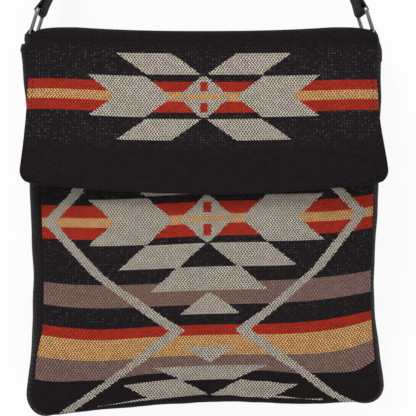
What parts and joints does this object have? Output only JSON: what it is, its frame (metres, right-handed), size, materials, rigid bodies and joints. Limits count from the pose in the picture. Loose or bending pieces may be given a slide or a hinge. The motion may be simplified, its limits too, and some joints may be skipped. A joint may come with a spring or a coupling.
{
  "type": "flap shoulder bag",
  "caption": "Soft woven shoulder bag lying on its back: pillow-shaped body with gusset and lining, fold-over flap with a magnetic snap, webbing strap on wire rings.",
  "frame": {"origin": "middle of the flat patch of the back that touches the table", "axes": "+X to the bag's right, +Y to its mouth and strap, +Z out of its front"},
  "size_m": [0.2909, 0.5527, 0.0678],
  "materials": {
    "weave": "matte",
    "black": "matte",
    "lining": "matte",
    "strap": "matte",
    "nickel": "polished"
  },
  "bodies": {
    "bag": {"front_panel": "weave", "back_panel": "black", "gusset": "black", "lining": "lining", "snap_socket": "nickel", "ring_tab_left": "strap", "ring_tab_right": "strap", "shoulder_strap": "strap"},
    "flap_top": {"flap_top": "weave"},
    "flap_front": {"flap_front": "weave", "flap_lining": "lining", "snap_stud": "nickel"},
    "ring_left": {"ring_left": "nickel"},
    "ring_right": {"ring_right": "nickel"}
  },
  "joints": [
    {"name": "flap_root", "type": "hinge", "parent": "bag", "child": "flap_top", "pos_m": [0, 0.15, 0.011], "axis": [-1, 0, 0], "range_deg": [0, 42]},
    {"name": "flap_fold", "type": "hinge", "parent": "flap_top", "child": "flap_front", "pos_m": [0, 0.15035, 0.042], "axis": [-1, 0, 0], "range_deg": [0, 73.5]},
    {"name": "ring_left_swing", "type": "hinge", "parent": "bag", "child": "ring_left", "pos_m": [-0.13634, 0.145, 0.026], "axis": [-0.2657, 0.1834, 0.9465], "range_deg": [-10, 25], "deforming": ["shoulder_strap"]},
    {"name": "ring_right_swing", "type": "hinge", "parent": "bag", "child": "ring_right", "pos_m": [0.13235, 0.145, 0.026], "axis": [0.3598, 0.2098, 0.9091], "range_deg": [-25, 10], "deforming": ["shoulder_strap"]}
  ],
  "couplings": [
    {"joint": "flap_fold", "follows": "flap_root", "ratio": 1.75}
  ]
}
